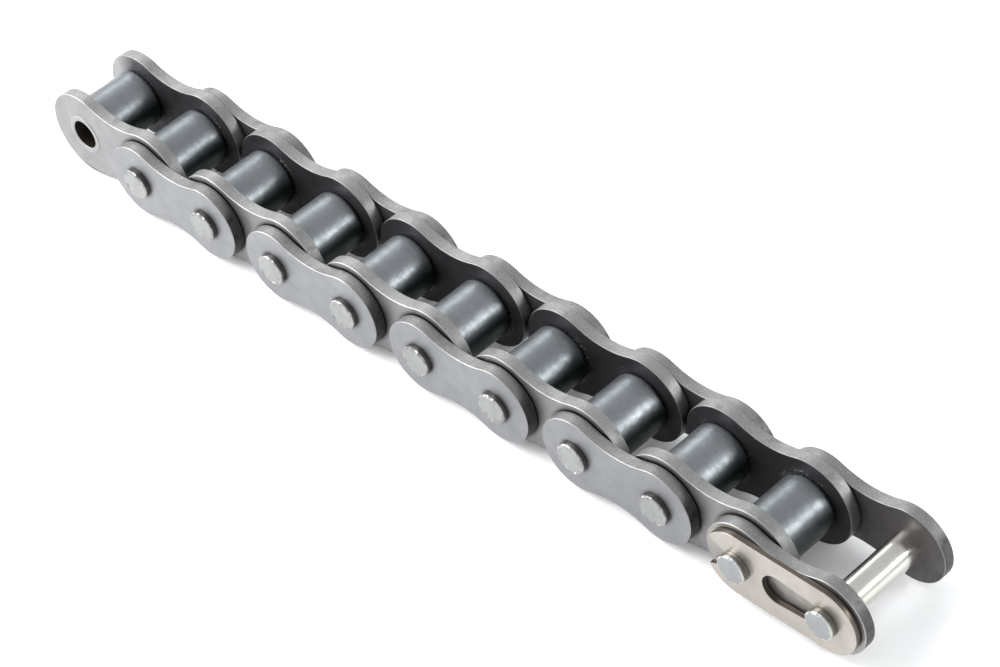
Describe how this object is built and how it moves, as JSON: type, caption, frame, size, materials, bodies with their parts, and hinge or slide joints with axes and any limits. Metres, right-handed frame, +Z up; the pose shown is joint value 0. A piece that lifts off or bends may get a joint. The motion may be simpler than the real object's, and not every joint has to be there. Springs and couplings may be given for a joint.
{
  "type": "conveyor chain",
  "caption": "Length of single-strand roller chain with riveted outer links, an open bushing end and a connecting link closed by a spring clip.",
  "frame": {"origin": "centre of the open end bushing's bore", "axes": "+X along the chain to the connecting link, +Z up, -Y towards the spring clip's side"},
  "size_m": [0.2072, 0.027, 0.018],
  "materials": {
    "inner_plate_steel": "satin heat-treated grey steel",
    "outer_plate_steel": "satin heat-treated grey steel",
    "bushing_steel": "dark hardened steel",
    "roller_steel": "blue-black oiled oxide steel",
    "pin_steel": "ground hardened steel",
    "connecting_pin_steel": "bright ground steel",
    "cover_plate_steel": "satin grey steel",
    "clip_steel": "warm grey spring steel"
  },
  "bodies": {
    "inner_link_1": {"inner_plate_1_near": "inner_plate_steel", "inner_plate_1_far": "inner_plate_steel", "bushing_0": "bushing_steel", "bushing_1": "bushing_steel"},
    "inner_link_2": {"inner_plate_2_near": "inner_plate_steel", "inner_plate_2_far": "inner_plate_steel", "bushing_2": "bushing_steel", "bushing_3": "bushing_steel"},
    "inner_link_3": {"inner_plate_3_near": "inner_plate_steel", "inner_plate_3_far": "inner_plate_steel", "bushing_4": "bushing_steel", "bushing_5": "bushing_steel"},
    "inner_link_4": {"inner_plate_4_near": "inner_plate_steel", "inner_plate_4_far": "inner_plate_steel", "bushing_6": "bushing_steel", "bushing_7": "bushing_steel"},
    "inner_link_5": {"inner_plate_5_near": "inner_plate_steel", "inner_plate_5_far": "inner_plate_steel", "bushing_8": "bushing_steel", "bushing_9": "bushing_steel"},
    "outer_link_1": {"outer_plate_1_near": "outer_plate_steel", "outer_plate_1_far": "outer_plate_steel", "pin_1": "pin_steel", "pin_2": "pin_steel"},
    "outer_link_2": {"outer_plate_2_near": "outer_plate_steel", "outer_plate_2_far": "outer_plate_steel", "pin_3": "pin_steel", "pin_4": "pin_steel"},
    "outer_link_3": {"outer_plate_3_near": "outer_plate_steel", "outer_plate_3_far": "outer_plate_steel", "pin_5": "pin_steel", "pin_6": "pin_steel"},
    "outer_link_4": {"outer_plate_4_near": "outer_plate_steel", "outer_plate_4_far": "outer_plate_steel", "pin_7": "pin_steel", "pin_8": "pin_steel"},
    "connecting_link": {"connecting_fixed_plate": "outer_plate_steel", "connecting_pin_9": "connecting_pin_steel", "connecting_pin_10": "connecting_pin_steel"},
    "cover_plate": {"connecting_cover_plate": "cover_plate_steel"},
    "spring_clip": {"spring_clip": "clip_steel"},
    "roller_0": {"roller_0": "roller_steel"},
    "roller_1": {"roller_1": "roller_steel"},
    "roller_2": {"roller_2": "roller_steel"},
    "roller_3": {"roller_3": "roller_steel"},
    "roller_4": {"roller_4": "roller_steel"},
    "roller_5": {"roller_5": "roller_steel"},
    "roller_6": {"roller_6": "roller_steel"},
    "roller_7": {"roller_7": "roller_steel"},
    "roller_8": {"roller_8": "roller_steel"},
    "roller_9": {"roller_9": "roller_steel"}
  },
  "joints": [
    {"name": "link_hinge_1", "type": "hinge", "parent": "inner_link_1", "child": "outer_link_1", "pos_m": [0.01905, 0, 0], "axis": [0, 1, 0], "range_deg": [-110, 110]},
    {"name": "link_hinge_2", "type": "hinge", "parent": "outer_link_1", "child": "inner_link_2", "pos_m": [0.0381, 0, 0], "axis": [0, -1, 0], "range_deg": [-110, 110]},
    {"name": "link_hinge_3", "type": "hinge", "parent": "inner_link_2", "child": "outer_link_2", "pos_m": [0.05715, 0, 0], "axis": [0, 1, 0], "range_deg": [-110, 110]},
    {"name": "link_hinge_4", "type": "hinge", "parent": "outer_link_2", "child": "inner_link_3", "pos_m": [0.0762, 0, 0], "axis": [0, -1, 0], "range_deg": [-110, 110]},
    {"name": "link_hinge_5", "type": "hinge", "parent": "inner_link_3", "child": "outer_link_3", "pos_m": [0.09525, 0, 0], "axis": [0, 1, 0], "range_deg": [-110, 110]},
    {"name": "link_hinge_6", "type": "hinge", "parent": "outer_link_3", "child": "inner_link_4", "pos_m": [0.1143, 0, 0], "axis": [0, -1, 0], "range_deg": [-110, 110]},
    {"name": "link_hinge_7", "type": "hinge", "parent": "inner_link_4", "child": "outer_link_4", "pos_m": [0.13335, 0, 0], "axis": [0, 1, 0], "range_deg": [-110, 110]},
    {"name": "link_hinge_8", "type": "hinge", "parent": "outer_link_4", "child": "inner_link_5", "pos_m": [0.1524, 0, 0], "axis": [0, -1, 0], "range_deg": [-110, 110]},
    {"name": "link_hinge_9", "type": "hinge", "parent": "inner_link_5", "child": "connecting_link", "pos_m": [0.17145, 0, 0], "axis": [0, 1, 0], "range_deg": [-110, 110]},
    {"name": "roller_spin_0", "type": "hinge", "parent": "inner_link_1", "child": "roller_0", "pos_m": [0, 0, 0], "axis": [0, 1, 0], "continuous": true},
    {"name": "roller_spin_1", "type": "hinge", "parent": "inner_link_1", "child": "roller_1", "pos_m": [0.01905, 0, 0], "axis": [0, 1, 0], "continuous": true},
    {"name": "roller_spin_2", "type": "hinge", "parent": "inner_link_2", "child": "roller_2", "pos_m": [0.0381, 0, 0], "axis": [0, 1, 0], "continuous": true},
    {"name": "roller_spin_3", "type": "hinge", "parent": "inner_link_2", "child": "roller_3", "pos_m": [0.05715, 0, 0], "axis": [0, 1, 0], "continuous": true},
    {"name": "roller_spin_4", "type": "hinge", "parent": "inner_link_3", "child": "roller_4", "pos_m": [0.0762, 0, 0], "axis": [0, 1, 0], "continuous": true},
    {"name": "roller_spin_5", "type": "hinge", "parent": "inner_link_3", "child": "roller_5", "pos_m": [0.09525, 0, 0], "axis": [0, 1, 0], "continuous": true},
    {"name": "roller_spin_6", "type": "hinge", "parent": "inner_link_4", "child": "roller_6", "pos_m": [0.1143, 0, 0], "axis": [0, 1, 0], "continuous": true},
    {"name": "roller_spin_7", "type": "hinge", "parent": "inner_link_4", "child": "roller_7", "pos_m": [0.13335, 0, 0], "axis": [0, 1, 0], "continuous": true},
    {"name": "roller_spin_8", "type": "hinge", "parent": "inner_link_5", "child": "roller_8", "pos_m": [0.1524, 0, 0], "axis": [0, 1, 0], "continuous": true},
    {"name": "roller_spin_9", "type": "hinge", "parent": "inner_link_5", "child": "roller_9", "pos_m": [0.17145, 0, 0], "axis": [0, 1, 0], "continuous": true},
    {"name": "cover_plate_slide", "type": "slide", "parent": "connecting_link", "child": "cover_plate", "axis": [0, -1, 0], "range_m": [0, 0.025]},
    {"name": "spring_clip_slide", "type": "slide", "parent": "cover_plate", "child": "spring_clip", "axis": [1, 0, 0], "range_m": [0, 0.0102], "deforming": ["spring_clip"]}
  ]
}
